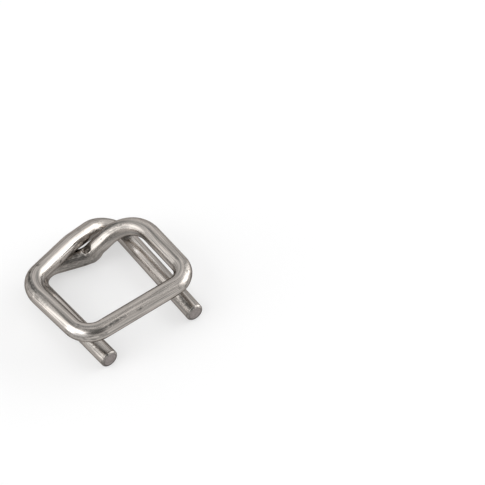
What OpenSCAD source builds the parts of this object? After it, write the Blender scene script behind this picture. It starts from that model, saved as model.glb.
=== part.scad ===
// Strapping buckle: one length of round galvanised wire, bent cold into a flat rectangular frame.
// The wire's two ends leave the frame at its back corners, cross there, dip to the floor and run
// forward under the legs as two prongs, which hold the loops of the strap.
// The buckle lies on its prongs, with the frame above them and +Y pointing to the crossed back.

/* [Wire] */
// Diameter of the drawn wire
wire_d = 3.3; // [2.6:0.1:3.6]
// Amount by which the wire thins where it is bent
bend_thinning = 0.02; // [0.01:0.01:0.1]
// Chamfer that the shear leaves round each cut end
end_chamfer = 0.2; // [0.05:0.05:0.6]

/* [Frame] */
// Width of the frame at the front bar, between wire centres
front_w = 22.5; // [20:0.1:26]
// Width of the frame at the back corners, between wire centres
back_w = 24.2; // [22:0.1:27]
// Length of the left leg, from the front bar to the left back corner
left_leg_l = 16.4; // [14:0.1:18]
// Length of the right leg, from the front bar to the right back corner
right_leg_l = 18.6; // [16:0.1:20]
// Height of the frame above the prongs, between wire centres
frame_rise = 6.3; // [5:0.1:8]
// Bend radius of the two front corners
front_bend_r = 3.9; // [2.5:0.1:5]
// Bend radius of the left back corner
left_bend_r = 5.5; // [4:0.1:6.5]
// Bend radius of the right back corner
right_bend_r = 6.9; // [5:0.1:8]

/* [Crossing] */
// Distance of the lower wire's kink to the right of the middle
kink_x = 2.8; // [1:0.1:4]
// Distance of the lower wire's kink behind the front bar
kink_y = 19.9; // [18:0.1:20.8]
// Height of the lower wire's kink above the prongs, between wire centres
kink_rise = 0.2; // [0:0.1:1]
// Bend radius of the kink
kink_bend_r = 3.6; // [2.5:0.1:5]
// Distance along the lower wire from the kink to the place where the upper wire crosses it
cross_offset = 2.6; // [2:0.1:4]
// Gap left between the two wires where they cross
cross_gap = 0.1; // [0.05:0.05:0.5]
// Bend radius of the upper wire over the crossing
over_bend_r = 14; // [8:1:20]

/* [Prongs] */
// Distance of the left prong from the middle at its back bend
left_back_x = 8.4; // [7:0.1:10]
// Distance of the left prong from the middle at its tip
left_tip_x = 7.9; // [6:0.1:10]
// Distance of the left prong's back bend behind the front bar
left_back_y = 23.6; // [22:0.1:26]
// Length of the left prong's tip in front of the front bar
left_overhang = 1.9; // [0:0.1:5]
// Distance of the right prong from the middle at its back bend
right_back_x = 11.4; // [10:0.1:13]
// Distance of the right prong from the middle at its tip
right_tip_x = 9.8; // [8:0.1:12]
// Distance of the right prong's back bend behind the front bar
right_back_y = 25.6; // [24.8:0.1:28]
// Length of the right prong's tip in front of the front bar
right_overhang = 2.9; // [0:0.1:5]
// Bend radius of the two back bends
prong_bend_r = 4.1; // [3:0.1:4.5]

/* [Hidden] */
$fn = 48;
steel = [0.66, 0.64, 0.62];

// Length by which a bend is let into the straight wire on each side of it
bend_tongue = 0.1;

function unit(v) = v / norm(v);

// Corner points of the wire's centre line, with the prongs' centre lines in the plane z = 0
left_tip = [-left_tip_x, -left_overhang, 0];
left_back = [-left_back_x, left_back_y, 0];
kink = [kink_x, kink_y, kink_rise];
right_corner = [back_w / 2, right_leg_l, frame_rise];
right_front = [front_w / 2, 0, frame_rise];
left_front = [-front_w / 2, 0, frame_rise];
left_corner = [-back_w / 2, left_leg_l, frame_rise];
right_back = [right_back_x, right_back_y, 0];
right_tip = [right_tip_x, -right_overhang, 0];

// The upper wire lies on the lower one: its corner stands one wire and the gap off the crossing,
// square to both wires
under_dir = unit(kink - left_back);
lift_dir = unit(cross(under_dir, right_back - left_corner));
over = kink - under_dir * cross_offset + lift_dir * (wire_d + cross_gap);

// The whole wire, from the left prong's tip to the right prong's tip
corners = [
    left_tip, left_back, kink, right_corner, right_front,
    left_front, left_corner, over, right_back, right_tip
];
last = len(corners) - 1;

// Bend radius at each corner; the two tips have none
bend_radii = [
    0, prong_bend_r, kink_bend_r, right_bend_r, front_bend_r,
    front_bend_r, left_bend_r, over_bend_r, prong_bend_r, 0
];

// Angle in degrees through which the wire turns at corner i
function turn(i) = acos(unit(corners[i] - corners[i - 1]) * unit(corners[i + 1] - corners[i]));

// Length of straight wire that the bend at corner i takes up on each side of it
function room(i) = bend_radii[i] == 0 ? 0 : bend_radii[i] * tan(turn(i) / 2);

// The bend at corner i starts in the direction ahead, on the outward side of its centre
function ahead(i) = unit(corners[i] - corners[i - 1]);
function outward(i) = unit(ahead(i) * cos(turn(i)) - unit(corners[i + 1] - corners[i]));
function centre(i) = corners[i] - ahead(i) * room(i) - outward(i) * bend_radii[i];

// Distance from the bend's centre to the wire's outer side along coordinate k
function bulge(i, k) = bend_radii[i] * norm([outward(i)[k], ahead(i)[k]]) + wire_d / 2;

// The footprint's middle, on the floor that the prongs lie on
x_mid = (centre(3).x + bulge(3, 0) + centre(6).x - bulge(6, 0)) / 2;
y_mid = (centre(8).y + bulge(8, 1) + min(left_tip.y, right_tip.y)) / 2;
footprint = [x_mid, y_mid, -wire_d / 2];

// Turns a solid that stands on +Z so that it starts at point a and runs towards b
module along(a, b) {
    d = b - a;
    translate(a) rotate([0, acos(d.z / norm(d)), atan2(d.y, d.x)]) children();
}

// Straight wire from corner i to its neighbour j, less the room that their bends take.
// A wire that starts at a tip has a chamfered cut end there.
module straight(i, j) {
    dir = unit(corners[j] - corners[i]);
    start = corners[i] + dir * room(i);
    stop = corners[j] - dir * room(j);
    cut = bend_radii[i] == 0 ? end_chamfer : 0;
    along(start, stop) {
        translate([0, 0, cut]) cylinder(d = wire_d, h = norm(stop - start) - cut);
        if (cut > 0) cylinder(d1 = wire_d - 2 * cut, d2 = wire_d, h = cut);
    }
}

// Bent wire at corner i: a piece of a ring, let into the straight wire on both sides
module bend(i) {
    r = bend_radii[i];
    x = outward(i);
    y = ahead(i);
    z = cross(x, y);
    c = centre(i);
    tongue = bend_tongue / r * 180 / PI;
    multmatrix([[x.x, y.x, z.x, c.x], [x.y, y.y, z.y, c.y], [x.z, y.z, z.z, c.z], [0, 0, 0, 1]])
        rotate([0, 0, -tongue])
            rotate_extrude(angle = turn(i) + 2 * tongue)
                translate([r, 0]) circle(d = wire_d - bend_thinning);
}

module bent_wire() {
    color(steel) translate(-footprint) {
        straight(0, 1);
        for (i = [1 : last - 2]) straight(i, i + 1);
        straight(last, last - 1);
        for (i = [1 : last - 1]) bend(i);
    }
}

bent_wire();
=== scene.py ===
"""Looks of the strapping buckle: one bent length of drawn galvanised wire on a pale studio floor.

The wire is swept again on a fine grid from the sizes of the CAD source, so that its cut ends, its kink and
its nicks can have the forms that a shear and a bending tool leave. It stands for the CAD solid in the same
place.
"""

import logging
import math
from dataclasses import dataclass, field
from enum import Enum
from typing import Any, ClassVar

import bpy
import numpy as np
from mathutils import Euler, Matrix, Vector


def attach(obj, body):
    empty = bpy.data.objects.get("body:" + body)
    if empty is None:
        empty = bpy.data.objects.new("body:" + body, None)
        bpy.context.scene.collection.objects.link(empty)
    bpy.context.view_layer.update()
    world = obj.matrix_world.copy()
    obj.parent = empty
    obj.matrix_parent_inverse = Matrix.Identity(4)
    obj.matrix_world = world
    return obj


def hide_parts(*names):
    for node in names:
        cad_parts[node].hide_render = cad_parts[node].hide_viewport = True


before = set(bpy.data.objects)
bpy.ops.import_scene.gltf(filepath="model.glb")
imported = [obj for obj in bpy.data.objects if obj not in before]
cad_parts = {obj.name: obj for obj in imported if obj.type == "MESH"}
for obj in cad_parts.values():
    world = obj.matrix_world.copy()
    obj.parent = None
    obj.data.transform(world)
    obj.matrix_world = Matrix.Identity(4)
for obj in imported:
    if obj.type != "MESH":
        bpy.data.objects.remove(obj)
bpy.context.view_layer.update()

LOG = logging.getLogger("strapping_buckle")
MM = 0.001
X_AXIS, Y_AXIS = 0, 1
UP = np.array([0.0, 0.0, 1.0])

# Mean value of the noise texture
NOISE_MEAN = 0.5

# Cosine over which a patch of the surround fades in on its own side of the studio
FRONT_FADE = 0.3

Colour = tuple[float, float, float, float]


class Surface(Enum):
    """The surfaces of the wire, in the order of its material slots."""

    DRAWN = 0
    SHEARED = 1


class Bend(Enum):
    """The bends that reach the part's box, counted along the wire from the left prong's tip."""

    RIGHT_CORNER = 3
    LEFT_CORNER = 6
    RIGHT_BACK = 8


def unit(vectors: np.ndarray) -> np.ndarray:
    """Divides each vector by its length."""
    return vectors / np.linalg.norm(vectors, axis=-1, keepdims=True)


def direction(azimuth: float, elevation: float) -> np.ndarray:
    """Unit vector towards a place in the studio.

    Args:
        azimuth: Angle round the object in degrees, 0 in front of the front bar and 90 to its right.
        elevation: Angle above the floor in degrees.

    Returns:
        The vector in the part's frame.
    """
    a, e = math.radians(azimuth), math.radians(elevation)
    return np.array([math.sin(a) * math.cos(e), -math.cos(a) * math.cos(e), math.sin(e)])


class Wired:
    """One output socket of a node, with arithmetic that adds Math nodes to its tree."""

    def __init__(self, graph: "Graph", socket: bpy.types.NodeSocket) -> None:
        """Keeps the socket and the graph that it belongs to."""
        self.graph = graph
        self.socket = socket

    def __add__(self, other: Any) -> "Wired":
        """Sum of two values."""
        return self.graph.math("ADD", self, other)

    def __sub__(self, other: Any) -> "Wired":
        """Difference of two values."""
        return self.graph.math("SUBTRACT", self, other)

    def __rsub__(self, other: Any) -> "Wired":
        """A number less this value."""
        return self.graph.math("SUBTRACT", other, self)

    def __mul__(self, other: Any) -> "Wired":
        """Product of two values."""
        return self.graph.math("MULTIPLY", self, other)

    __radd__ = __add__
    __rmul__ = __mul__

    def clamped(self) -> "Wired":
        """The value held between 0 and 1."""
        return self.graph.math("MINIMUM", self.graph.math("MAXIMUM", self, 0.0), 1.0)

    def smooth(self, low: float, high: float) -> "Wired":
        """A soft step from 0 at the value low to 1 at the value high."""
        settings = {"interpolation_type": "SMOOTHSTEP"}
        sockets = {"Value": self, "From Min": low, "From Max": high}
        return self.graph.out("ShaderNodeMapRange", settings, sockets)


class Graph:
    """A node tree that is written as expressions."""

    def __init__(self, tree: bpy.types.NodeTree) -> None:
        """Empties the tree and keeps it."""
        self.tree = tree
        tree.nodes.clear()

    def node(self, kind: str, settings: dict[str, Any], sockets: dict[Any, Any]) -> bpy.types.Node:
        """Adds one node.

        Args:
            kind: Blender's name of the node's type.
            settings: Properties of the node, set first.
            sockets: Input names or numbers with the value or link that each takes.

        Returns:
            The new node.
        """
        made = self.tree.nodes.new(kind)
        for name, value in settings.items():
            setattr(made, name, value)
        for key, value in sockets.items():
            if isinstance(value, Wired):
                self.tree.links.new(value.socket, made.inputs[key])
            else:
                made.inputs[key].default_value = value
        return made

    def out(self, kind: str, settings: dict[str, Any], sockets: dict[Any, Any], key: Any = 0) -> Wired:
        """Adds one node, as node() does, and gives its output of that name or number."""
        return Wired(self, self.node(kind, settings, sockets).outputs[key])

    def math(self, operation: str, a: Any, b: Any) -> Wired:
        """Adds a Math node on two values."""
        return self.out("ShaderNodeMath", {"operation": operation}, {0: a, 1: b})

    def blend(self, a: Any, b: Any, share: Any) -> Wired:
        """Mixes two colours: a at share 0, b at share 1."""
        settings = {"data_type": "RGBA", "clamp_factor": True}
        return self.out("ShaderNodeMix", settings, {0: share, 6: a, 7: b}, 2)

    def scaled(self, vector: Wired, factors: tuple[float, float, float]) -> Wired:
        """Multiplies a vector's coordinates by three numbers."""
        return self.out("ShaderNodeVectorMath", {"operation": "MULTIPLY"}, {0: vector, 1: factors})

    def along(self, vector: Wired, axis: np.ndarray) -> Wired:
        """The part of a vector along an axis."""
        sockets = {0: vector, 1: tuple(float(x) for x in axis)}
        return self.out("ShaderNodeVectorMath", {"operation": "DOT_PRODUCT"}, sockets, "Value")

    def noise(self, vector: Wired, scale: float, detail: float) -> Wired:
        """Noise texture on a vector, about 0.5 in the mean."""
        return self.out("ShaderNodeTexNoise", {}, {"Vector": vector, "Scale": scale, "Detail": detail})

    def own(self, name: str, key: str) -> Wired:
        """An attribute that the piece's mesh carries."""
        return self.out("ShaderNodeAttribute", {"attribute_name": name}, {}, key)

    def close(self, shader: Wired, kind: str) -> None:
        """Links the last shader to the tree's output node of that kind."""
        self.node(kind, {}, {"Surface": shader})


def new_graph(name: str) -> tuple[bpy.types.Material, Graph]:
    """Makes an empty node material and its graph."""
    material = bpy.data.materials.new(name)
    material.use_nodes = True
    return material, Graph(material.node_tree)


@dataclass(frozen=True)
class Grain:
    """Noise on the wire's own coordinates, with one fineness round the wire and another along it."""

    fineness_round: float
    fineness_along: float
    detail: float

    def pattern(self, g: Graph, wire: Wired) -> Wired:
        """The noise, about 0.5 in the mean."""
        factors = (self.fineness_round, self.fineness_round, self.fineness_along)
        return g.noise(g.scaled(wire, factors), 1.0, self.detail)


@dataclass(frozen=True)
class DrawnSteel:
    """Bright drawn and galvanised wire.

    The die leaves lines along the wire, so every pattern is noise on the wire's own coordinates, drawn out
    along its length. They are the cosine and sine of the angle round the wire, and the distance along it in
    millimetres.
    """

    pale: Colour = (0.612, 0.559, 0.516, 1.0)
    dull: Colour = (0.234, 0.225, 0.211, 1.0)
    # Dark tone of scuffing, pits, stretch blotches and painted shade
    scuff_and_shade_tone: Colour = (0.068, 0.066, 0.061, 1.0)
    # Colour of the painted highlights
    painted_highlight: Colour = (0.88, 0.85, 0.82, 1.0)
    edge_tint: Colour = (0.30, 0.28, 0.27, 1.0)
    broad: Grain = Grain(2.2, 0.05, 2.0)
    lines: Grain = Grain(6.0, 0.12, 3.0)
    fine: Grain = Grain(24.0, 0.16, 2.0)
    pits: Grain = Grain(7.0, 1.6, 3.0)
    blotches: Grain = Grain(3.0, 1.1, 3.0)
    mottle: Grain = Grain(6.0, 2.2, 3.0)
    pit_step: tuple[float, float] = (0.70, 0.78)
    blotch_step: tuple[float, float] = (0.46, 0.62)
    mottle_step: tuple[float, float] = (0.36, 0.56)
    broad_contrast: float = 1.1
    line_contrast: float = 1.9
    fine_contrast: float = 1.4
    least_mark: float = 0.55
    stretch_scuff: float = 0.7
    pit_scuff: float = 0.8
    scuff_and_shade_cover: float = 0.85
    polish: float = 0.17
    polish_level: float = 0.3
    line_roughness: float = 0.12
    scuff_roughness: float = 0.22
    relief_m: float = 0.000024
    relief_strength: float = 0.8
    fine_relief: float = 0.45
    pit_relief: float = 0.8
    mark_relief: float = 1.4

    def build(self) -> bpy.types.Material:
        """Makes the material.

        Returns:
            A metal whose tone, roughness and relief follow the draw lines, pits, scuffs, painted shade and
            painted highlights.
        """
        material, g = new_graph("drawn_steel")
        wire = g.own("drawn", "Vector")
        broad = self.broad.pattern(g, wire)
        lines = self.lines.pattern(g, wire)
        fine = self.fine.pattern(g, wire)
        pits = self.pits.pattern(g, wire).smooth(*self.pit_step)
        blotches = self.blotches.pattern(g, wire).smooth(*self.blotch_step)
        mottle = self.mottle.pattern(g, wire).smooth(*self.mottle_step)

        # Marks' value: positive for scuffing and painted shade, negative for painted highlights
        signed_marks_and_painted_light = g.own("marks_and_painted_light", "Fac")
        marks_and_painted_light = signed_marks_and_painted_light.clamped() * (self.least_mark + mottle * (1.0 - self.least_mark))
        # Painted highlight where the marks' value is negative
        bright = (0.0 - signed_marks_and_painted_light).clamped()
        stretched = g.own("stretch", "Fac") * blotches * self.stretch_scuff
        scuff_and_painted_light = (stretched + marks_and_painted_light + pits * self.pit_scuff).clamped()

        streaks = (lines - NOISE_MEAN) * self.line_contrast + (broad - NOISE_MEAN) * self.broad_contrast
        tone = (0.5 + streaks + (fine - NOISE_MEAN) * self.fine_contrast).clamped()
        metal = g.blend(g.blend(self.dull, self.pale, tone), self.painted_highlight, bright)
        rough = self.polish + (fine - self.polish_level) * self.line_roughness + scuff_and_painted_light * self.scuff_roughness
        height = lines + fine * self.fine_relief - pits * self.pit_relief + marks_and_painted_light * mottle * self.mark_relief
        bump = {"Strength": self.relief_strength, "Distance": self.relief_m, "Height": height}
        sockets = {
            # Darkened towards the dark tone by scuffing, pits, stretch blotches and painted shade
            "Base Color": g.blend(metal, self.scuff_and_shade_tone, scuff_and_painted_light * self.scuff_and_shade_cover),
            "Metallic": 1.0,
            "Roughness": rough,
            "Specular Tint": self.edge_tint,
            "Normal": g.out("ShaderNodeBump", {}, bump),
        }
        g.close(g.out("ShaderNodeBsdfPrincipled", {}, sockets), "ShaderNodeOutputMaterial")
        return material


@dataclass(frozen=True)
class ShearedSteel:
    """Cut face of the wire: torn, dull metal with faint lines in the direction of the cut."""

    torn: Colour = (0.245, 0.218, 0.207, 1.0)
    smeared: Colour = (0.315, 0.283, 0.272, 1.0)
    dark_rim_tone: Colour = (0.055, 0.048, 0.045, 1.0)
    grain_fineness: float = 2600.0
    grain_detail: float = 4.0
    grain_step: tuple[float, float] = (0.35, 0.65)
    line_fineness: tuple[float, float, float] = (4200.0, 4200.0, 700.0)
    line_detail: float = 2.0
    edge_least: float = 0.7
    edge_spread: float = 0.5
    roughness: float = 0.5
    roughness_spread: float = 0.2
    relief_m: float = 0.00003
    relief_strength: float = 0.7
    line_relief: float = 0.6

    def build(self) -> bpy.types.Material:
        """Makes the material.

        Returns:
            A rough metal with two tones and a fine relief.
        """
        material, g = new_graph("sheared_steel")
        place = g.out("ShaderNodeTexCoord", {}, {}, "Object")
        grain = g.noise(place, self.grain_fineness, self.grain_detail)
        lines = g.noise(g.scaled(place, self.line_fineness), 1.0, self.line_detail)
        # Darker towards the rim of the cut face, from the cut ends' darkening
        edge = g.own("marks_and_painted_light", "Fac") * (self.edge_least + grain * self.edge_spread)
        face = g.blend(self.torn, self.smeared, grain.smooth(*self.grain_step))
        height = grain + lines * self.line_relief
        bump = {"Strength": self.relief_strength, "Distance": self.relief_m, "Height": height}
        sockets = {
            "Base Color": g.blend(face, self.dark_rim_tone, edge),
            "Metallic": 1.0,
            "Roughness": self.roughness + (grain - NOISE_MEAN) * self.roughness_spread,
            "Normal": g.out("ShaderNodeBump", {}, bump),
        }
        g.close(g.out("ShaderNodeBsdfPrincipled", {}, sockets), "ShaderNodeOutputMaterial")
        return material


@dataclass(frozen=True)
class FloorPaper:
    """Plain pale paper that is lit and also glows a little, so that the buckle's shadow on it stays light."""

    white: Colour = (0.40, 0.40, 0.40, 1.0)
    glow: float = 0.51

    def build(self) -> bpy.types.Material:
        """Makes the floor's material.

        Returns:
            A matte material whose glow is seen by the camera and in reflections, and lights nothing.
        """
        material, g = new_graph("floor_paper")
        rays = g.node("ShaderNodeLightPath", {}, {}).outputs
        kinds = ("Is Camera Ray", "Is Glossy Ray", "Is Transmission Ray")
        seen = sum(Wired(g, rays[kind]) for kind in kinds).clamped()
        lit = g.out("ShaderNodeBsdfDiffuse", {}, {"Color": self.white})
        glowing = g.out("ShaderNodeEmission", {}, {"Strength": seen * self.glow})
        g.close(g.out("ShaderNodeAddShader", {}, {0: lit, 1: glowing}), "ShaderNodeOutputMaterial")
        return material


@dataclass(frozen=True)
class Stations:
    """Places along the wire's centre line, one row of each array per place, in millimetres."""

    along: np.ndarray
    place: np.ndarray
    ahead: np.ndarray
    side: np.ndarray
    rise: np.ndarray
    inward: np.ndarray
    curvature: np.ndarray


class CentreLine:
    """Straight wire and bends in turn through a list of corners.

    Each bend is an arc of its own radius that touches the straights on both sides. The section's two axes are
    carried along without twist: they keep still on a straight and turn with the arc in a bend.
    """

    def __init__(self, corners: np.ndarray, radii: np.ndarray) -> None:
        """Works out the start, heading, length and curvature of every straight and bend.

        Args:
            corners: Corner points, from tip to tip.
            radii: Bend radius at each corner, 0 at the tips.
        """
        legs = np.diff(corners, axis=0)
        reach = np.linalg.norm(legs, axis=1)
        heading = unit(legs)
        cosine = np.sum(heading[:-1] * heading[1:], axis=1)
        turn = np.arccos(np.clip(cosine, -1.0, 1.0))
        room = np.concatenate([[0.0], radii[1:-1] * np.tan(turn / 2), [0.0]])
        count = 2 * len(legs) - 1
        self.start = np.empty((count, 3))
        self.start[0::2] = corners[:-1] + heading * room[:-1, None]
        self.start[1::2] = corners[1:-1] - heading[:-1] * room[1:-1, None]
        self.heading = np.empty((count, 3))
        self.heading[0::2], self.heading[1::2] = heading, heading[:-1]
        self.length = np.empty(count)
        self.length[0::2], self.length[1::2] = reach - room[:-1] - room[1:], radii[1:-1] * turn
        self.curvature = np.zeros(count)
        self.curvature[1::2] = 1.0 / radii[1:-1]
        self.inward = np.zeros((count, 3))
        self.inward[1::2] = unit(heading[1:] - heading[:-1] * cosine[:, None])
        self.begin = np.concatenate([[0.0], np.cumsum(self.length)[:-1]])
        self.total = float(self.length.sum())
        self.axes = self._carry()

    def _carry(self) -> np.ndarray:
        """Carries the section's first axis along.

        Returns:
            That axis at the start of each straight and bend, as its parts inward and square to the plane of
            the bend.
        """
        side = unit(np.cross(self.heading[0], UP))
        parts = np.zeros((len(self.length), 2))
        for k, bend in enumerate(self.curvature):
            if bend == 0.0:
                self.inward[k] = side
                parts[k] = 1.0, 0.0
                continue
            inward, ahead = self.inward[k], self.heading[k]
            across = np.cross(ahead, inward)
            parts[k] = side @ inward, side @ across
            angle = bend * self.length[k]
            turned = inward * math.cos(angle) - ahead * math.sin(angle)
            side = turned * parts[k, 0] + across * parts[k, 1]
        return parts

    def bulge(self, bend: Bend, axis: int, reach: float) -> tuple[float, float]:
        """Lowest and highest coordinate of a bend's full ring along one axis.

        Args:
            bend: The bend.
            axis: Number of the coordinate.
            reach: Radius of the wire.

        Returns:
            The two coordinates.
        """
        k = 2 * bend.value - 1
        radius = 1.0 / self.curvature[k]
        centre = self.start[k, axis] + self.inward[k, axis] * radius
        half = radius * math.hypot(self.inward[k, axis], self.heading[k, axis]) + reach
        return centre - half, centre + half

    def stations(self, along: np.ndarray) -> Stations:
        """Places at given distances along the wire.

        On an arc of curvature c, a run of length l turns by the angle c l. The place moves ahead by
        sin(c l) / c and inward by (1 - cos(c l)) / c, both written with sinc so that a straight needs no case
        of its own.

        Args:
            along: Distances from the first tip.

        Returns:
            Places, headings and section axes.
        """
        k = np.clip(np.searchsorted(self.begin, along, side="right") - 1, 0, len(self.begin) - 1)
        run = along - self.begin[k]
        angle = self.curvature[k] * run
        ahead0, inward0 = self.heading[k], self.inward[k]
        onward = run * np.sinc(angle / math.pi)
        aside = run * angle / 2 * np.sinc(angle / 2 / math.pi) ** 2
        place = self.start[k] + ahead0 * onward[:, None] + inward0 * aside[:, None]
        cosine, sine = np.cos(angle)[:, None], np.sin(angle)[:, None]
        ahead = ahead0 * cosine + inward0 * sine
        inward = inward0 * cosine - ahead0 * sine
        across = np.cross(ahead0, inward0)
        side = inward * self.axes[k, :1] + across * self.axes[k, 1:]
        rise = np.cross(ahead, side)
        return Stations(along, place, ahead, side, rise, inward, self.curvature[k])


@dataclass(frozen=True)
class PressMarkAndPaintedLight:
    """A dent, or a swelling where depth is negative, that a tool has left on the wire; the shallow ones are
    patches of painted shade and painted highlight.

    With q the distance from the mark's middle, counted in its half length along the wire and its half width
    round it, the surface sinks by depth exp(-q^4), which has a flat bottom. A ridge of height rim stands
    round it at about q = 1. Where scuff is positive the metal is darkened, by scuffing on the tool's dents
    and by painted shade on the shallow patches; where it is negative it is lightened to a painted highlight.
    """

    RIDGE_PLACE: ClassVar[float] = 1.05
    RIDGE_SPREAD: ClassVar[float] = 0.22

    along: float
    facing: tuple[float, float, float]
    depth: float
    half_length: float
    half_width: float
    rim: float = 0.0
    scuff_and_painted_light: float = 0.0

    def press(self, st: Stations, angles: np.ndarray, radius: float) -> tuple[np.ndarray, np.ndarray]:
        """Works out the mark on the whole grid of the wire.

        Args:
            st: Places along the wire.
            angles: Angles round the wire.
            radius: Radius of the wire.

        Returns:
            How far the surface moves outward, and the change of colour: darker where positive, from scuffing
            and painted shade, and a painted highlight where negative; both by place and angle.
        """
        k = int(np.argmin(np.abs(st.along - self.along)))
        middle = math.atan2(float(st.rise[k] @ self.facing), float(st.side[k] @ self.facing))
        swing = np.angle(np.exp(1j * (angles - middle)))
        lengthwise = (st.along[:, None] - self.along) / self.half_length
        q = np.hypot(lengthwise, radius * swing[None, :] / self.half_width)
        pressed = np.exp(-(q**4))
        ridge = np.exp(-(((q - self.RIDGE_PLACE) / self.RIDGE_SPREAD) ** 2))
        # Second value: darkening where positive, partly scuffing and partly painted shade; a painted
        # highlight where negative
        return self.rim * ridge - self.depth * pressed, self.scuff_and_painted_light * pressed


@dataclass(frozen=True)
class ShearedEnd:
    """Form of a cut end: the shear draws the wall in where it enters, and leaves a flat, torn face.

    Round the end the wall rolls over towards the face on an arc. Its size goes from least to most and back
    with the cosine of the angle from the side that faces entry. A groove runs round the face near its rim.
    """

    entry: tuple[float, float, float]
    least: float = 0.34
    most: float = 0.50
    roll: float = 0.88
    ripple: float = 0.02
    groove: float = 0.05
    groove_share: float = 0.91
    groove_spread: float = 0.06
    rim_share: float = 0.97
    pole_share: float = 0.05
    darkened_from: float = 0.74
    darkened_over: float = 0.24
    least_wall_darkening: float = 0.30
    least_face_darkening: float = 0.45
    wall_rings: int = 8
    face_rings: int = 16

    def turned(self, tip: Stations) -> float:
        """Angle round the wire of the side that the shear enters."""
        return math.atan2(float(tip.rise[0] @ self.entry), float(tip.side[0] @ self.entry))

    def shares(self) -> np.ndarray:
        """Radius of each ring of the face, as a share of its rim's, in a column."""
        return np.linspace(self.rim_share, self.pole_share, self.face_rings)[:, None]

    def end_darkening(self, tip: Stations, angles: np.ndarray) -> np.ndarray:
        """Darker colour of the cut end, from the wall to the middle of the face; on the wall it also dims the
        highlight.

        They are faint where the shear enters and strong where it breaks out. On the face they grow with the
        square of the distance outward over its outer quarter.

        Args:
            tip: The one place at the tip.
            angles: Angles round the wire.

        Returns:
            The marks' strength by ring and angle.
        """
        lee = 0.5 - 0.5 * np.cos(angles - self.turned(tip))
        wall = self.least_wall_darkening + (1.0 - self.least_wall_darkening) * lee
        face = self.least_face_darkening + (1.0 - self.least_face_darkening) * lee
        outward = np.clip((self.shares() - self.darkened_from) / self.darkened_over, 0.0, 1.0)
        return np.concatenate([np.broadcast_to(wall, (self.wall_rings, len(angles))), outward**2 * face])

    def rings(
        self, tip: Stations, angles: np.ndarray, radius: float, sign: float
    ) -> tuple[np.ndarray, np.ndarray]:
        """Works out the rings from the wall over the rim to the middle of the face.

        The torn face's relief is a sine across it times a cosine up it, plus a finer slanting sine.

        Args:
            tip: The one place at the tip.
            angles: Angles round the wire.
            radius: Radius of the wire.
            sign: 1 where the wire runs on to larger distances behind the tip, -1 where to smaller ones.

        Returns:
            Points by ring, angle and coordinate, and how far each ring lies behind the tip.
        """
        middle = self.turned(tip)
        size = self.least + (self.most - self.least) * (0.5 + 0.5 * np.cos(angles - middle)) ** 1.5
        sweep = np.linspace(0.0, self.roll, self.wall_rings)[:, None] * math.pi / 2
        wall_r = radius - size * (1.0 - np.cos(sweep))
        wall_back = size * (1.0 - np.sin(sweep))
        share = self.shares()
        face_r = wall_r[-1] * share
        x, y = face_r * np.cos(angles), face_r * np.sin(angles)
        torn = np.sin(3.1 * x + 1.3) * np.cos(2.3 * y) + 0.5 * np.sin(6.7 * y + 2.0 * x)
        dip = self.groove * np.exp(-(((share - self.groove_share) / self.groove_spread) ** 2))
        face_back = wall_back[-1] * share**6 + dip + self.ripple * torn * (1.0 - share**4)
        spread = np.concatenate([wall_r, face_r])[..., None]
        back = np.concatenate([wall_back, face_back])
        out = tip.side[0] * np.cos(angles)[:, None] + tip.rise[0] * np.sin(angles)[:, None]
        return tip.place[0] + out * spread + tip.ahead[0] * (sign * back)[..., None], back


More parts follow.
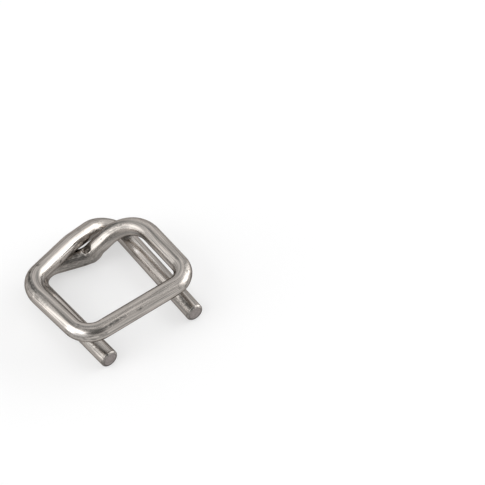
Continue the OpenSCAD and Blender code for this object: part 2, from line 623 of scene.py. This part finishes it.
@dataclass(frozen=True)
class WireForm:
    """Sizes of the bent wire in millimetres, as in the CAD source."""

    wire_d: float = 3.3
    front_w: float = 22.5
    back_w: float = 24.2
    left_leg_l: float = 16.4
    right_leg_l: float = 18.6
    frame_rise: float = 6.3
    front_bend_r: float = 3.9
    left_bend_r: float = 5.5
    right_bend_r: float = 6.9
    kink_x: float = 2.8
    kink_y: float = 19.9
    kink_rise: float = 0.2
    kink_bend_r: float = 3.6
    cross_offset: float = 2.6
    cross_gap: float = 0.1
    over_bend_r: float = 14.0
    left_back_x: float = 8.4
    left_tip_x: float = 7.9
    left_back_y: float = 23.6
    left_overhang: float = 1.9
    right_back_x: float = 11.4
    right_tip_x: float = 9.8
    right_back_y: float = 25.6
    right_overhang: float = 2.9
    prong_bend_r: float = 4.1

    def corners(self) -> np.ndarray:
        """Corner points of the centre line, from the left prong's tip to the right prong's tip.

        The upper wire's corner stands one wire and the gap off the lower wire, square to both.

        Returns:
            One row per corner, with the prongs' centre lines in the plane z = 0.
        """
        left_back = np.array([-self.left_back_x, self.left_back_y, 0.0])
        kink = np.array([self.kink_x, self.kink_y, self.kink_rise])
        left_corner = np.array([-self.back_w / 2, self.left_leg_l, self.frame_rise])
        right_back = np.array([self.right_back_x, self.right_back_y, 0.0])
        under = unit(kink - left_back)
        lift = unit(np.cross(under, right_back - left_corner))
        over = kink - under * self.cross_offset + lift * (self.wire_d + self.cross_gap)
        return np.array([
            [-self.left_tip_x, -self.left_overhang, 0.0],
            left_back,
            kink,
            [self.back_w / 2, self.right_leg_l, self.frame_rise],
            [self.front_w / 2, 0.0, self.frame_rise],
            [-self.front_w / 2, 0.0, self.frame_rise],
            left_corner,
            over,
            right_back,
            [self.right_tip_x, -self.right_overhang, 0.0],
        ])

    def radii(self) -> np.ndarray:
        """Bend radius at each corner."""
        return np.array([
            0.0, self.prong_bend_r, self.kink_bend_r, self.right_bend_r, self.front_bend_r,
            self.front_bend_r, self.left_bend_r, self.over_bend_r, self.prong_bend_r, 0.0,
        ])

    def centre_line(self) -> CentreLine:
        """The centre line in the part's own frame: over the footprint's middle, with the floor at z = 0."""
        corners, radii = self.corners(), self.radii()
        line = CentreLine(corners, radii)
        right = line.bulge(Bend.RIGHT_CORNER, X_AXIS, self.wire_d / 2)[1]
        left = line.bulge(Bend.LEFT_CORNER, X_AXIS, self.wire_d / 2)[0]
        back = line.bulge(Bend.RIGHT_BACK, Y_AXIS, self.wire_d / 2)[1]
        front = min(corners[0, Y_AXIS], corners[-1, Y_AXIS])
        middle = np.array([(left + right) / 2, (front + back) / 2, -self.wire_d / 2])
        return CentreLine(corners - middle, radii)


def nicks() -> list[PressMarkAndPaintedLight]:
    """Marks in their places on the wire: dents and nicks of the bending tools and handling, and patches of
    painted shade and painted highlight.

    Returns:
        The marks. Each gives its place along the wire, the direction that it faces, its depth, half length
        and half width, and, where it has them, the height of its ridge and its darkening, negative for a
        painted highlight.
    """
    return [
        # Pocket, fold and swelling that the bending tool leaves at the kink
        PressMarkAndPaintedLight(33.9, (-0.30, 0.10, 0.94), 0.28, 1.35, 0.95, 0.10, 0.10),
        PressMarkAndPaintedLight(32.4, (-0.03, 0.00, 1.00), -0.09, 0.28, 0.85),
        PressMarkAndPaintedLight(33.5, (-0.30, -0.33, 0.90), -0.09, 0.40, 0.50),
        PressMarkAndPaintedLight(34.8, (-0.56, -0.25, 0.79), 0.09, 0.32, 0.32, 0.06, 0.5),
        PressMarkAndPaintedLight(31.3, (-0.12, -0.30, 0.94), 0.04, 0.75, 0.60, 0.02, 0.9),
        PressMarkAndPaintedLight(34.5, (0.15, -0.88, -0.44), -0.20, 1.00, 1.30),
        PressMarkAndPaintedLight(36.0, (-0.03, -0.99, -0.17), 0.12, 0.60, 0.90),
        # Painted shade on the lower wire's front side, where it reflects the shaded floor and lies in the
        # dark gap under the upper wire, and inside the right back bend
        PressMarkAndPaintedLight(29.8, (-0.22, -0.60, 0.77), 0.010, 1.70, 0.28, 0.0, 0.7),
        PressMarkAndPaintedLight(31.8, (-0.31, -0.93, 0.18), 0.006, 5.20, 1.00, 0.0, 0.7),
        PressMarkAndPaintedLight(41.2, (-0.62, -0.77, 0.13), 0.006, 3.00, 0.60, 0.0, 0.45),
        # Painted highlight at the back of the left prong and inside the left back corner: lighter colour for
        # light reflected into the hollow between the wires
        PressMarkAndPaintedLight(19.3, (0.42, 0.0, 0.91), 0.004, 3.20, 1.00, 0.0, -1.0),
        PressMarkAndPaintedLight(95.2, (0.86, -0.35, 0.37), 0.004, 3.00, 0.65, 0.0, -1.0),
        # Painted shadow of the frame and a painted highlight at the back of the right prong, with a painted
        # highlight line and a painted shade line along it
        PressMarkAndPaintedLight(125.2, (-0.30, 0.02, 0.95), 0.004, 0.80, 1.30, 0.0, 1.0),
        PressMarkAndPaintedLight(127.9, (-0.48, 0.02, 0.88), 0.004, 1.70, 0.85, 0.0, -1.0),
        PressMarkAndPaintedLight(132.6, (-0.01, 0.00, 1.00), 0.004, 4.20, 0.30, 0.0, -0.8),
        PressMarkAndPaintedLight(134.2, (-0.33, 0.02, 0.94), 0.004, 3.60, 0.24, 0.0, 0.6),
        # Painted shade along both edges of the lower wire past the crossing, and a darker, rougher patch of
        # painted shade between them
        PressMarkAndPaintedLight(38.9, (-0.45, 0.32, 0.83), 0.004, 3.10, 0.36, 0.0, 1.0),
        PressMarkAndPaintedLight(40.7, (-0.57, -0.05, 0.82), 0.004, 1.90, 0.70, 0.0, 0.55),
        PressMarkAndPaintedLight(38.8, (-0.53, -0.69, 0.50), 0.004, 2.60, 0.36, 0.0, 0.75),
        # Painted highlight along the upper wire's front side and on the left front corner
        PressMarkAndPaintedLight(107.2, (0.43, -0.68, 0.60), 0.004, 5.40, 0.50, 0.0, -0.7),
        PressMarkAndPaintedLight(109.2, (0.36, -0.92, -0.10), 0.004, 1.40, 0.70, 0.0, -0.9),
        PressMarkAndPaintedLight(82.3, (-0.67, -0.39, 0.63), 0.004, 1.50, 0.50, 0.0, -0.6),
        # Painted shade on the tops of the bends and on the left leg: darker, rougher patches that dim the
        # highlights there
        PressMarkAndPaintedLight(43.0, (-0.66, -0.12, 0.74), 0.004, 1.40, 0.80, 0.0, 0.5),
        PressMarkAndPaintedLight(59.4, (0.32, -0.24, 0.91), 0.004, 1.20, 0.70, 0.0, 0.45),
        PressMarkAndPaintedLight(91.3, (-0.57, -0.03, 0.82), 0.004, 1.90, 0.55, 0.0, 0.5),
        PressMarkAndPaintedLight(114.9, (0.42, -0.71, 0.56), 0.004, 0.90, 0.45, 0.0, 0.5),
        PressMarkAndPaintedLight(117.3, (0.28, -0.27, 0.92), 0.004, 1.00, 0.60, 0.0, 0.45),
        # Dark patches round the left back corner; the last one is painted shade that dims the highlight
        # beside them
        PressMarkAndPaintedLight(94.3, (-0.29, 0.11, 0.95), 0.05, 1.30, 0.46, 0.02, 1.0),
        PressMarkAndPaintedLight(96.2, (-0.31, 0.32, 0.89), 0.05, 1.00, 0.38, 0.02, 1.0),
        PressMarkAndPaintedLight(97.7, (-0.24, 0.45, 0.86), 0.03, 0.60, 0.26, 0.01, 0.8),
        PressMarkAndPaintedLight(92.5, (-0.72, -0.05, 0.69), 0.01, 0.90, 0.50, 0.0, 0.4),
        # Small nicks
        PressMarkAndPaintedLight(82.4, (-0.13, -0.07, 0.99), 0.05, 0.12, 0.45, 0.03, 0.3),
        PressMarkAndPaintedLight(99.7, (0.11, 0.26, 0.96), 0.04, 0.45, 0.35, 0.02, 0.8),
        PressMarkAndPaintedLight(104.2, (0.42, -0.89, 0.16), 0.05, 0.35, 0.30, 0.02, 0.9),
        PressMarkAndPaintedLight(112.6, (0.24, 0.16, 0.96), 0.03, 0.35, 0.25, 0.01, 0.6),
        PressMarkAndPaintedLight(71.2, (0.0, -0.70, 0.71), 0.02, 0.55, 0.26, 0.006, 0.9),
        # Painted shade on the prongs' free ends, and long marks round the left front corner and on the front
        # bar that are partly scuffing and partly a painted dark reflection
        PressMarkAndPaintedLight(2.6, (-0.66, -0.01, 0.75), 0.004, 2.40, 0.45, 0.0, 0.45),
        PressMarkAndPaintedLight(144.1, (-0.45, 0.02, 0.89), 0.004, 2.00, 0.42, 0.0, 1.0),
        PressMarkAndPaintedLight(80.6, (-0.25, -0.32, 0.91), 0.008, 1.10, 0.16, 0.0, 0.8),
        PressMarkAndPaintedLight(76.4, (0.0, -0.59, 0.81), 0.012, 3.20, 0.30, 0.0, 1.0),
        PressMarkAndPaintedLight(75.8, (0.0, -0.18, 0.98), 0.010, 4.50, 0.22, 0.0, 0.5),
        PressMarkAndPaintedLight(68.5, (0.0, -0.30, 0.95), 0.008, 3.50, 0.15, 0.0, 0.4),
    ]


@dataclass
class BentWire:
    """The whole buckle: one wire with a round section carried along its centre line, and two sheared ends."""

    form: WireForm = field(default_factory=WireForm)
    marks: list[PressMarkAndPaintedLight] = field(default_factory=nicks)
    left_end: ShearedEnd = ShearedEnd(entry=(0.5, 0.0, 0.85))
    right_end: ShearedEnd = ShearedEnd(entry=(0.35, 0.0, 0.95))
    step: float = 0.24
    sides: int = 120
    end_gap: float = 0.05
    stretch_gain: float = 2.2
    slot: str = "wire"
    node: str = "bent_wire"

    def build(self) -> bpy.types.Object:
        """Builds the wire, dresses it and puts it in the CAD node's place.

        Returns:
            The finished piece.
        """
        line = self.form.centre_line()
        angles = np.linspace(0.0, 2 * math.pi, self.sides, endpoint=False)
        points, polar, stretch, marks_and_painted_light, rim = self._surface(line, angles)
        piece = self._mesh(points, polar, stretch, marks_and_painted_light, rim)
        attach(piece, "root")
        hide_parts(self.node)
        return piece

    def _surface(self, line: CentreLine, angles: np.ndarray) -> tuple[np.ndarray, ...]:
        """Points of the wire by ring and angle, from the first face's middle to the last one's.

        A point of the wall is the centre line's place plus the radius, moved by the marks, times the
        direction side cos(angle) + rise sin(angle).

        Args:
            line: The wire's centre line.
            angles: Angles round the wire.

        Returns:
            Points, wire coordinates, stretch at the bends' outsides, the marks' scuffing, painted shade and
            painted highlights with the cut ends' darkening, and the numbers of the rings between wall and
            face at both ends.
        """
        radius = self.form.wire_d / 2
        margin = max(self.left_end.most, self.right_end.most) + self.end_gap
        count = int(round((line.total - 2 * margin) / self.step)) + 1
        st = line.stations(np.linspace(margin, line.total - margin, count))
        pressed = [mark.press(st, angles, radius) for mark in self.marks]
        moved = radius + sum(move for move, _ in pressed)
        out = st.side[:, None] * np.cos(angles)[:, None] + st.rise[:, None] * np.sin(angles)[:, None]
        wall = st.place[:, None] + out * moved[..., None]
        facing = -np.einsum("ijk,ik->ij", out, st.inward) * st.curvature[:, None] * radius
        near, far = line.stations(np.array([0.0])), line.stations(np.array([line.total]))
        first, first_back = self.left_end.rings(near, angles, radius, 1.0)
        last, last_back = self.right_end.rings(far, angles, radius, -1.0)
        points = np.concatenate([first[::-1], wall, last])
        along = np.concatenate([
            first_back[::-1],
            np.broadcast_to(st.along[:, None], wall.shape[:2]),
            line.total - last_back,
        ])
        polar = np.stack(np.broadcast_arrays(np.cos(angles), np.sin(angles), along), axis=-1)
        blank = np.zeros(first.shape[:2])
        stretch = np.concatenate([blank, np.clip(facing * self.stretch_gain, 0.0, 1.0), blank])
        marks_and_painted_light = np.concatenate([
            self.left_end.end_darkening(near, angles)[::-1],
            np.clip(sum(scuff_and_painted_light for _, scuff_and_painted_light in pressed), -1.0, 1.0),
            self.right_end.end_darkening(far, angles),
        ])
        rim = np.array([self.left_end.face_rings, len(first) + count + self.right_end.wall_rings - 1])
        return points, polar, stretch, marks_and_painted_light, rim

    def _mesh(
        self, points: np.ndarray, polar: np.ndarray, stretch: np.ndarray, marks_and_painted_light: np.ndarray, rim: np.ndarray
    ) -> bpy.types.Object:
        """Turns the grid of points into a closed mesh with its attributes, UV map and materials.

        Args:
            points: Points by ring and angle, in millimetres.
            polar: Wire coordinates of each point.
            stretch: Stretch of each point.
            marks_and_painted_light: Darkening of each point by scuffing, painted shade and the cut ends,
                negative for a painted highlight.
            rim: Numbers of the rings where the faces begin.

        Returns:
            The mesh object.
        """
        rings, sides = points.shape[:2]
        ring, side = np.meshgrid(np.arange(rings - 1), np.arange(sides), indexing="ij")
        after = (side + 1) % sides
        here, onward = ring * sides, (ring + 1) * sides
        quads = np.stack([here + side, here + after, onward + after, onward + side], axis=-1).reshape(-1, 4)
        around = np.arange(sides)
        last = (rings - 1) * sides
        low, high = rings * sides, rings * sides + 1
        start = np.stack([np.full(sides, low), (around + 1) % sides, around], axis=-1)
        stop = np.stack([np.full(sides, high), last + around, last + (around + 1) % sides], axis=-1)
        poles = np.stack([points[0].mean(axis=0), points[-1].mean(axis=0)])
        verts = np.concatenate([points.reshape(-1, 3), poles]) * MM

        mesh = bpy.data.meshes.new("wire")
        mesh.from_pydata(verts, [], [*quads.tolist(), *start.tolist(), *stop.tolist()])
        ends = np.array([[1.0, 0.0, 0.0], [1.0, 0.0, polar[-1, 0, 2]]])
        self._attribute(mesh, "drawn", "FLOAT_VECTOR", "vector", np.concatenate([polar.reshape(-1, 3), ends]))
        self._attribute(mesh, "stretch", "FLOAT", "value", np.concatenate([stretch.ravel(), [0.0, 0.0]]))
        self._attribute(mesh, "marks_and_painted_light", "FLOAT", "value", np.concatenate([marks_and_painted_light.ravel(), [0.0, 0.0]]))

        face_ring = np.concatenate([ring.ravel(), np.zeros(sides, int), np.full(sides, rings - 1)])
        torn = (face_ring < rim[0]) | (face_ring >= rim[1])
        slots = np.where(torn, Surface.SHEARED.value, Surface.DRAWN.value)
        mesh.polygons.foreach_set("material_index", slots.astype(np.int32))
        mesh.polygons.foreach_set("use_smooth", np.ones(len(slots), bool))
        self._sharpen(mesh, rim * sides, sides)
        self._unwrap(mesh, ring, side, rings, sides)
        mesh.update()
        piece = bpy.data.objects.new("buckle_wire", mesh)
        bpy.context.scene.collection.objects.link(piece)
        mesh.materials.append(DrawnSteel().build())
        mesh.materials.append(ShearedSteel().build())
        return piece

    @staticmethod
    def _attribute(mesh: bpy.types.Mesh, name: str, kind: str, key: str, values: np.ndarray) -> None:
        """Stores one value or vector per point under a name that the material reads."""
        mesh.attributes.new(name, kind, "POINT").data.foreach_set(key, values.astype(np.float32).ravel())

    @staticmethod
    def _sharpen(mesh: bpy.types.Mesh, starts: np.ndarray, sides: int) -> None:
        """Marks the edges of the two rings whose points begin at starts as sharp."""
        ends = np.empty(2 * len(mesh.edges), np.int32)
        mesh.edges.foreach_get("vertices", ends)
        ends = ends.reshape(-1, 1, 2)
        low = starts[None, :, None]
        within = ((ends >= low) & (ends < low + sides)).all(axis=2).any(axis=1)
        mesh.attributes.new("sharp_edge", "BOOLEAN", "EDGE").data.foreach_set("value", within)

    @staticmethod
    def _unwrap(mesh: bpy.types.Mesh, ring: np.ndarray, side: np.ndarray, rings: int, sides: int) -> None:
        """Adds a UV map with u round the wire and v along it, both from 0 to 1."""
        u = np.stack([side, side + 1, side + 1, side], axis=-1) / sides
        v = np.stack([ring, ring, ring + 1, ring + 1], axis=-1) / (rings - 1)
        walls = np.stack([u, v], axis=-1).reshape(-1, 2)
        around = np.arange(sides) / sides
        onward = around + 1.0 / sides
        start = np.stack([around, onward, around], axis=-1)
        stop = np.stack([around, around, onward], axis=-1)
        first = np.stack([start, np.zeros_like(start)], axis=-1).reshape(-1, 2)
        last = np.stack([stop, np.ones_like(stop)], axis=-1).reshape(-1, 2)
        uv = mesh.uv_layers.new(name="wire")
        uv.data.foreach_set("uv", np.concatenate([walls, first, last]).astype(np.float32).ravel())


@dataclass(frozen=True)
class SoftBox:
    """A large soft light, given as a bright patch of the studio's surround with faded edges."""

    azimuth: float
    elevation: float
    half_width: float
    half_height: float
    fade: float
    strength: float

    def glow(self, g: Graph, towards: Wired) -> Wired:
        """Brightness of the patch in each direction.

        The direction is measured along the patch's own right and up axes as sines. Each falls from 1 to 0
        over the fade at its half size, and a third factor keeps the patch on its own side of the studio.

        Args:
            g: Graph of the world.
            towards: Direction from the object.

        Returns:
            The brightness to add.
        """
        ahead = direction(self.azimuth, self.elevation)
        right = unit(np.cross(UP, ahead))
        across = g.math("ABSOLUTE", g.along(towards, right), 0.0)
        rise = g.math("ABSOLUTE", g.along(towards, np.cross(ahead, right)), 0.0)
        wide, tall = math.sin(math.radians(self.half_width)), math.sin(math.radians(self.half_height))
        within_width = 1.0 - across.smooth(wide - self.fade, wide + self.fade)
        within_height = 1.0 - rise.smooth(tall - self.fade, tall + self.fade)
        front = g.along(towards, ahead).smooth(0.0, FRONT_FADE)
        return within_width * within_height * front * self.strength


@dataclass(frozen=True)
class PanelFrame:
    """Dark frame round a pale overhead panel, given as an oval ring of the studio's surround."""

    azimuth: float
    elevation: float
    half_width: float
    half_depth: float
    bar: float
    core: float = 0.25

    def shade(self, g: Graph, towards: Wired) -> Wired:
        """Share of the frame in each direction.

        The direction is measured square to the panel's axis as sines, each counted in the oval's half size.
        The sum of their squares is 1 on the frame's middle line, and its distance from 1 tells how far off a
        direction is.

        Args:
            g: Graph of the world.
            towards: Direction from the object.

        Returns:
            1 in the middle of the frame's bar, falling to 0 at its edges.
        """
        ahead = direction(self.azimuth, self.elevation)
        right = unit(np.cross(UP, ahead))
        across = g.along(towards, right / self.half_width)
        rise = g.along(towards, np.cross(ahead, right) / self.half_depth)
        off = g.math("ABSOLUTE", across * across + rise * rise - 1.0, 0.0)
        reach = 2 * self.bar / (self.half_width + self.half_depth)
        front = g.along(towards, ahead).smooth(0.0, FRONT_FADE)
        return (1.0 - off.smooth(self.core * reach, reach)) * front


@dataclass(frozen=True)
class Studio:
    """Plain floor and soft light from both sides, with the room darker on the camera's side."""

    floor_r: float = 3.0
    floor_drop: float = 0.00002
    floor_sides: int = 96
    low_level: float = 0.72
    high_level: float = 1.04
    high_sine: float = 0.9
    camera_side: float = 0.165
    camera_azimuth: float = -10.0
    camera_elevation: float = 45.0
    camera_fade: tuple[float, float] = (0.79, 0.985)
    frame_level: float = 0.145
    panel: PanelFrame = PanelFrame(171.0, 78.5, 0.325, 0.38, 0.16)
    boxes: tuple[SoftBox, ...] = (
        SoftBox(-107.0, 17.0, 17.0, 17.0, 0.15, 2.2),
        SoftBox(-95.0, 47.0, 26.0, 12.0, 0.12, 2.3),
        SoftBox(74.0, 15.0, 26.0, 29.0, 0.16, 2.6),
    )

    def build(self) -> None:
        """Makes the floor and the light."""
        self._floor()
        self._surround()

    def _floor(self) -> None:
        """Makes the floor: a disc whose points are a radius times the cosine and sine of an angle."""
        angles = np.linspace(0.0, 2 * math.pi, self.floor_sides, endpoint=False)
        rim = np.stack([np.cos(angles), np.sin(angles), np.zeros_like(angles)], axis=-1) * self.floor_r
        mesh = bpy.data.meshes.new("floor")
        mesh.from_pydata(rim - [0.0, 0.0, self.floor_drop], [], [list(range(len(angles)))])
        mesh.materials.append(FloorPaper().build())
        floor = bpy.data.objects.new("studio_floor", mesh)
        bpy.context.scene.collection.objects.link(floor)

    def _surround(self) -> None:
        """Makes the world: a grey that grows paler upward, less the dark places, plus the soft boxes."""
        world = bpy.data.worlds.new("studio")
        world.use_nodes = True
        bpy.context.scene.world = world
        g = Graph(world.node_tree)
        towards = g.out("ShaderNodeTexCoord", {}, {}, "Generated")
        height = g.along(towards, UP).smooth(0.0, self.high_sine)
        even = self.low_level + height * (self.high_level - self.low_level)
        camera = direction(self.camera_azimuth, self.camera_elevation)
        shade = g.along(towards, camera).smooth(*self.camera_fade)
        level = even - shade * (even - self.camera_side)
        for box in self.boxes:
            level = level + box.glow(g, towards)
        level = level - self.panel.shade(g, towards) * (level - self.frame_level)
        shader = g.out("ShaderNodeBackground", {}, {"Color": (1.0, 1.0, 1.0, 1.0), "Strength": level})
        g.close(shader, "ShaderNodeOutputWorld")


@dataclass(frozen=True)
class PhotoCamera:
    """Camera at the photograph's viewing angle, with the buckle in its place in the picture."""

    place_mm: tuple[float, float, float] = (-102.665, -166.372, 229.112)
    tilt_deg: float = 42.152
    roll_deg: float = -0.1324
    turn_deg: float = -38.8358
    lens_mm: float = 124.70
    sensor_mm: float = 36.0
    near_m: float = 0.005
    far_m: float = 20.0

    def build(self) -> bpy.types.Object:
        """Makes the camera and hands it to the scene.

        Returns:
            The camera object.
        """
        data = bpy.data.cameras.new("photo_camera")
        data.lens, data.sensor_width = self.lens_mm, self.sensor_mm
        data.clip_start, data.clip_end = self.near_m, self.far_m
        camera = bpy.data.objects.new("photo_camera", data)
        camera.location = Vector(self.place_mm) * MM
        camera.rotation_euler = Euler(map(math.radians, (self.tilt_deg, self.roll_deg, self.turn_deg)))
        bpy.context.scene.collection.objects.link(camera)
        bpy.context.scene.camera = camera
        return camera


def main() -> None:
    """Builds the buckle, the studio and the camera."""
    logging.basicConfig(level=logging.INFO, format="%(message)s")
    bpy.context.scene.view_settings.view_transform = "Standard"
    PhotoCamera().build()
    Studio().build()
    piece = BentWire().build()
    LOG.info("%s: %d faces", piece.name, len(piece.data.polygons))


if __name__ == "__main__":
    main()
